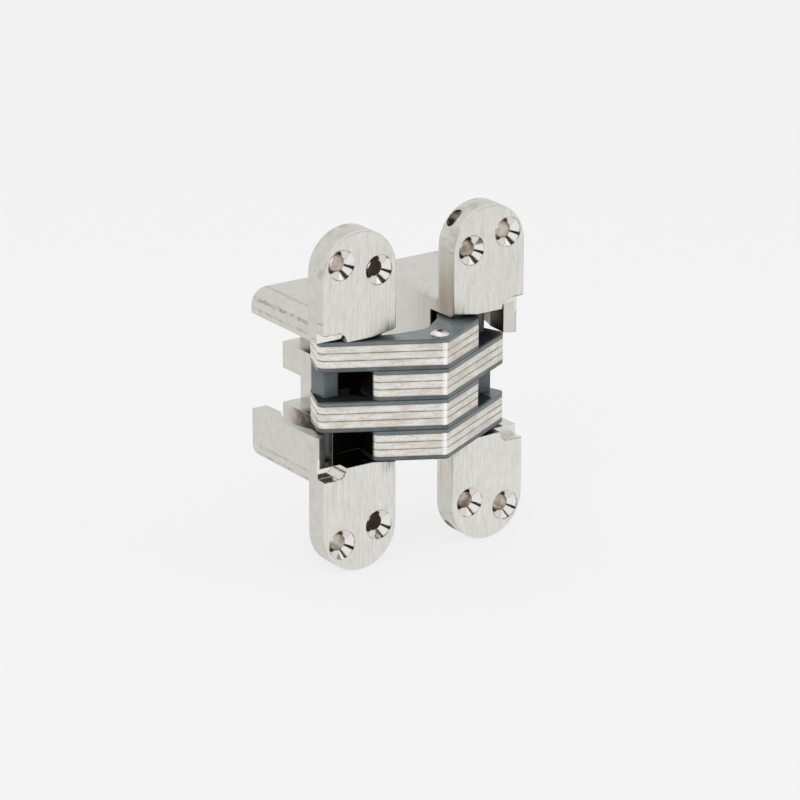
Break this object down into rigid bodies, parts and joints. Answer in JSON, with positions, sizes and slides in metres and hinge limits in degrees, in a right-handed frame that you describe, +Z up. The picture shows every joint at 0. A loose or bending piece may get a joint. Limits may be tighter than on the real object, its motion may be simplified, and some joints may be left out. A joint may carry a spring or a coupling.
{
  "type": "concealed door hinge",
  "caption": "Concealed door hinge: round-ended screw-on leaf castings joined by crossed packs of plated links, folding from open flat to shut face to face.",
  "frame": {"origin": "middle of the left leaf's outer pair of screw holes, on the plane of the plate backs", "axes": "+X from the left leaf to the right leaf, +Y back into the door edge, +Z up along the leaves"},
  "size_m": [0.0799, 0.0561, 0.1174],
  "materials": {
    "leaf_casting": "satin nickel plate over zinc casting, fine lengthwise brushing on the faces",
    "link_plate": "bright nickel plate on stamped steel",
    "link_liner": "smooth blue-grey bearing plastic",
    "rivet": "polished spun head",
    "pin": "ground steel, lightly oiled",
    "slide_plastic": "smooth blue-grey bearing plastic"
  },
  "bodies": {
    "left_leaf": {"left_leaf": "leaf_casting", "left_pivot_pin": "pin"},
    "link_b": {"link_b_pack_1_liner_1": "link_liner", "link_b_pack_1_plate_1": "link_plate", "link_b_pack_1_plate_2": "link_plate", "link_b_pack_1_plate_3": "link_plate", "link_b_pack_1_liner_2": "link_liner", "link_b_pack_2_liner_1": "link_liner", "link_b_pack_2_plate_1": "link_plate", "link_b_pack_2_plate_2": "link_plate", "link_b_pack_2_plate_3": "link_plate", "link_b_pack_2_liner_2": "link_liner", "right_slide_pin": "pin", "right_sleeve": "slide_plastic"},
    "link_a": {"link_a_pack_1_liner_1": "link_liner", "link_a_pack_1_plate_1": "link_plate", "link_a_pack_1_plate_2": "link_plate", "link_a_pack_1_plate_3": "link_plate", "link_a_pack_1_liner_2": "link_liner", "link_a_pack_2_liner_1": "link_liner", "link_a_pack_2_plate_1": "link_plate", "link_a_pack_2_plate_2": "link_plate", "link_a_pack_2_plate_3": "link_plate", "link_a_pack_2_liner_2": "link_liner", "left_slide_pin": "pin", "left_sleeve": "slide_plastic", "centre_rivet": "rivet"},
    "right_leaf": {"right_leaf": "leaf_casting", "right_pivot_pin": "pin"},
    "left_slide": {"left_slide_block": "slide_plastic"},
    "right_slide": {"right_slide_block": "slide_plastic"}
  },
  "joints": [
    {"name": "left_pivot", "type": "hinge", "parent": "left_leaf", "child": "link_b", "pos_m": [0.01695, -0.0034, 0], "axis": [0, 0, -1], "range_deg": [0, 117.6]},
    {"name": "cross_pivot", "type": "hinge", "parent": "link_b", "child": "link_a", "pos_m": [0.03305, -0.0174, 0], "axis": [0, 0, 1], "range_deg": [0, 55.2]},
    {"name": "right_pivot", "type": "hinge", "parent": "link_a", "child": "right_leaf", "pos_m": [0.04915, -0.0034, 0], "axis": [0, 0, -1], "range_deg": [0, 117.6]},
    {"name": "left_slide_turn", "type": "hinge", "parent": "link_a", "child": "left_slide", "pos_m": [0.00225, 0.0045, 0], "axis": [0, 0, 1], "range_deg": [0, 62.4]},
    {"name": "right_slide_turn", "type": "hinge", "parent": "link_b", "child": "right_slide", "pos_m": [0.06385, 0.0045, 0], "axis": [0, 0, -1], "range_deg": [0, 62.4]}
  ],
  "couplings": [
    {"joint": "cross_pivot", "follows": "left_pivot", "ratio": 0.46939},
    {"joint": "right_pivot", "follows": "left_pivot", "ratio": 1},
    {"joint": "left_slide_turn", "follows": "left_pivot", "ratio": 0.53061},
    {"joint": "right_slide_turn", "follows": "left_pivot", "ratio": 0.53061}
  ]
}
